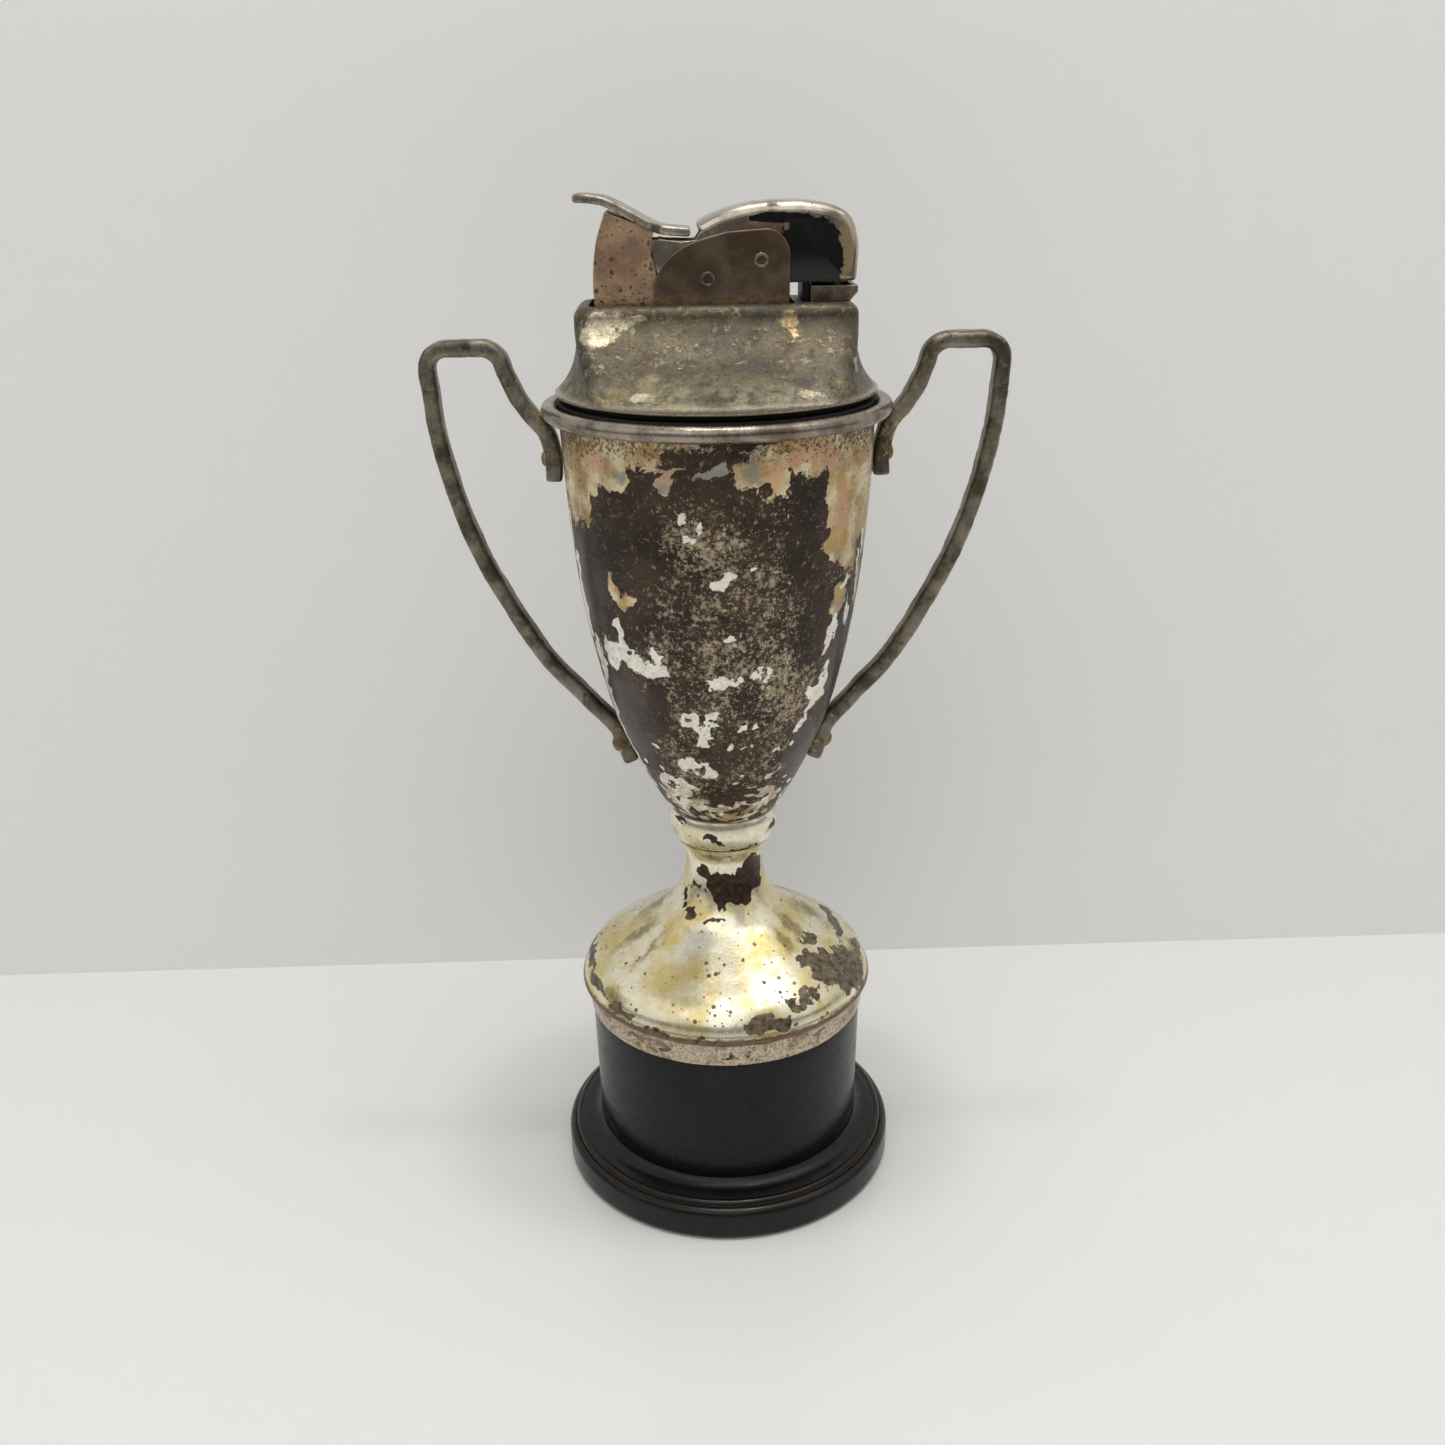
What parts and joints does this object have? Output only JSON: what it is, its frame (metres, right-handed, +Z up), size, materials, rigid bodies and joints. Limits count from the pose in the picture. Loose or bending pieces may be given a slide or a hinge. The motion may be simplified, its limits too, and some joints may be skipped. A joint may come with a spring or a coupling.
{
  "type": "trophy cup table lighter",
  "caption": "Trophy cup on a round turned base, with strap handles and a drop-in thumb-lever lighter whose snuffer arm lifts off the wick as the spark wheel turns.",
  "frame": {"origin": "centre of the base's underside, on the table", "axes": "+X towards the right handle, +Y towards the back, +Z up along the cup's axis; the front of the mechanism faces -Y"},
  "size_m": [0.083, 0.054, 0.1532],
  "materials": {
    "felt": "plain wool felt",
    "base_black": "glossy brown-black, softly worn",
    "base_blue_black": "glossy blue-black",
    "plated_foot": "worn silver plate with yellow tarnish and dark patches",
    "plated_ring": "bright silver plate with small dark spots",
    "bowl_patina": "dark oxidised metal with flakes of cream and gold plate",
    "handle_patina": "olive-brown worn plate with rust near the feet",
    "rivet_metal": "rusty worn plate",
    "steel": "plain zinc-grey steel",
    "collar_metal": "mottled grey-green worn nickel",
    "plate_metal": "satin brown-grey metal",
    "pin_metal": "satin grey-brown",
    "skirt_metal": "pinkish worn plate with rust spots",
    "pad_metal": "grey-olive worn plate",
    "arm_chrome": "bright chrome with a blackened side",
    "cup_metal": "worn grey metal with a rusty lower edge",
    "soot": "sooty black",
    "tin": "tinned sheet",
    "brass": "plain turned brass",
    "cotton": "cotton wadding",
    "wick_cotton": "braided cotton, scorched at its tip",
    "flint_metal": "dull grey sparking metal",
    "wheel_steel": "hardened dark steel",
    "spring_steel": "bright spring wire",
    "gasket": "dark fibre"
  },
  "bodies": {
    "trophy": {"felt_pad": "felt", "base_plate": "base_black", "base_drum": "base_blue_black", "foot_stem": "plated_foot", "neck_ring": "plated_ring", "bowl": "bowl_patina", "left_handle": "handle_patina", "right_handle": "handle_patina", "handle_rivets": "rivet_metal", "tie_bolt": "steel", "lower_washer": "steel", "upper_washer": "steel", "tie_nut": "steel"},
    "lighter": {"collar": "collar_metal", "grip_sleeve": "tin", "fuel_tank": "tin", "tank_cap": "brass", "frame_floor": "plate_metal", "front_side_plate": "plate_metal", "rear_side_plate": "plate_metal", "lever_pin": "pin_metal", "arm_pin": "pin_metal", "wick_tube": "brass", "wick": "wick_cotton", "wick_cup": "cup_metal", "wick_shield": "soot", "cotton_packing": "cotton", "flint_tube": "brass", "flint": "flint_metal", "flint_follower": "brass", "flint_spring": "spring_steel", "lever_spring": "spring_steel", "arm_spring": "spring_steel"},
    "thumb_lever": {"thumb_pad": "pad_metal", "thumb_skirt": "skirt_metal", "lever_link": "tin"},
    "snuffer": {"snuffer_arm": "arm_chrome", "snuffer_cap": "cup_metal", "pawl_leaf": "spring_steel", "pawl_rivet": "pin_metal"},
    "spark_wheel": {"flint_wheel": "wheel_steel", "ratchet_wheel": "brass"},
    "tank_screw": {"filler_screw": "brass", "filler_gasket": "gasket"},
    "flint_plug": {"flint_screw": "brass"}
  },
  "joints": [
    {"name": "lighter_lift", "type": "slide", "parent": "trophy", "child": "lighter", "axis": [0, 0, 1], "range_m": [0, 0.05]},
    {"name": "thumb_press", "type": "hinge", "parent": "lighter", "child": "thumb_lever", "pos_m": [0.00609, 0, 0.14458], "axis": [0, -1, 0], "range_deg": [0, 12], "stiffness_Nm_per_rad": 0.02, "deforming": ["lever_spring"]},
    {"name": "snuffer_lift", "type": "hinge", "parent": "lighter", "child": "snuffer", "pos_m": [-0.0011, 0, 0.14228], "axis": [0, -1, 0], "range_deg": [0, 25.5], "deforming": ["arm_spring", "pawl_leaf"]},
    {"name": "flint_wheel_spin", "type": "hinge", "parent": "lighter", "child": "spark_wheel", "pos_m": [0.00609, 0, 0.14458], "axis": [0, -1, 0], "range_deg": [0, 73]},
    {"name": "filler_screw_out", "type": "slide", "parent": "lighter", "child": "tank_screw", "axis": [0, 0, -1], "range_m": [0, 0.012]},
    {"name": "flint_screw_out", "type": "slide", "parent": "lighter", "child": "flint_plug", "axis": [0, 0, -1], "range_m": [0, 0.012]}
  ],
  "couplings": [
    {"joint": "snuffer_lift", "follows": "thumb_press", "ratio": 2.1},
    {"joint": "flint_wheel_spin", "follows": "thumb_press", "ratio": 6}
  ]
}
